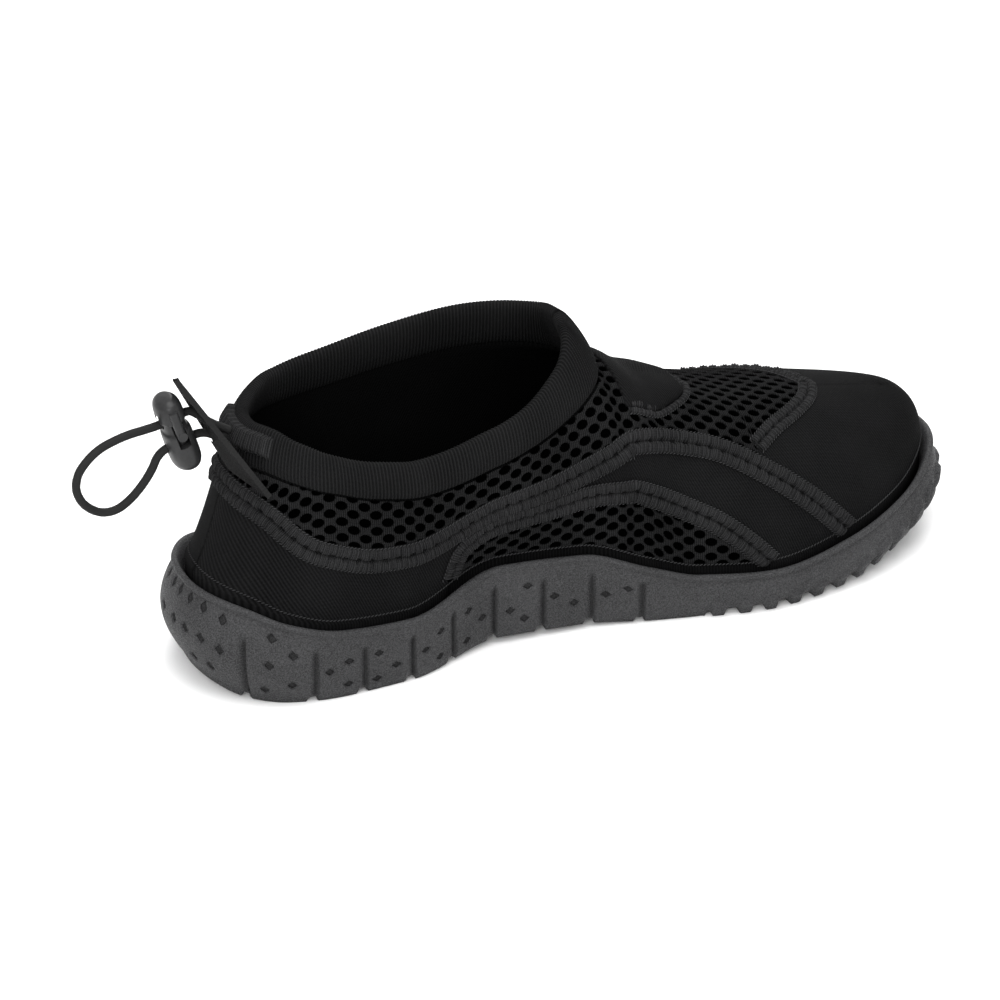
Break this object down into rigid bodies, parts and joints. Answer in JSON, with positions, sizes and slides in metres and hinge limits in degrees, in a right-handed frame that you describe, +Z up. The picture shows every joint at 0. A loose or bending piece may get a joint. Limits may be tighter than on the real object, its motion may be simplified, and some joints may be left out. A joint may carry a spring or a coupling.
{
  "type": "water shoe",
  "caption": "Slip-on water shoe for the left foot: rubber cup sole with side grooves, hollow cloth upper with seam tapes, rolled collar, heel tab and drawcord with a sprung lock.",
  "frame": {"origin": "on the floor under the middle of the shoe's box, cord and lock left out", "axes": "+X to the toe, +Z up, -Y to the inner (medial) side of the left foot"},
  "size_m": [0.3106, 0.0972, 0.1115],
  "materials": {
    "rubber": "fine pebble grain, matt",
    "neoprene": "knit-faced neoprene and mesh",
    "cuff_knit": "ribbed knit over neoprene",
    "insole_foam": "cloth-topped foam",
    "seam_tape": "woven binding with stitch rows",
    "webbing": "woven webbing and braided cord",
    "lock_plastic": "smooth moulded plastic"
  },
  "bodies": {
    "shoe": {"outsole": "rubber", "upper": "neoprene", "insole": "insole_foam", "collar": "cuff_knit", "side_tape": "seam_tape", "window_tape_medial": "seam_tape", "window_tape_lateral": "seam_tape", "toe_tape": "seam_tape", "tongue_tape": "seam_tape", "tongue_pad": "neoprene", "heel_tab": "webbing", "cord_tunnel": "webbing", "cord_lock_body": "lock_plastic", "drawcord": "webbing"},
    "lock_button": {"cord_lock_button": "lock_plastic"}
  },
  "joints": [
    {"name": "lock_button_press", "type": "slide", "parent": "shoe", "child": "lock_button", "axis": [0.2807, 0, -0.9598], "range_m": [0, 0.0025], "stiffness_N_per_m": 800, "springref_m": -0.002}
  ]
}
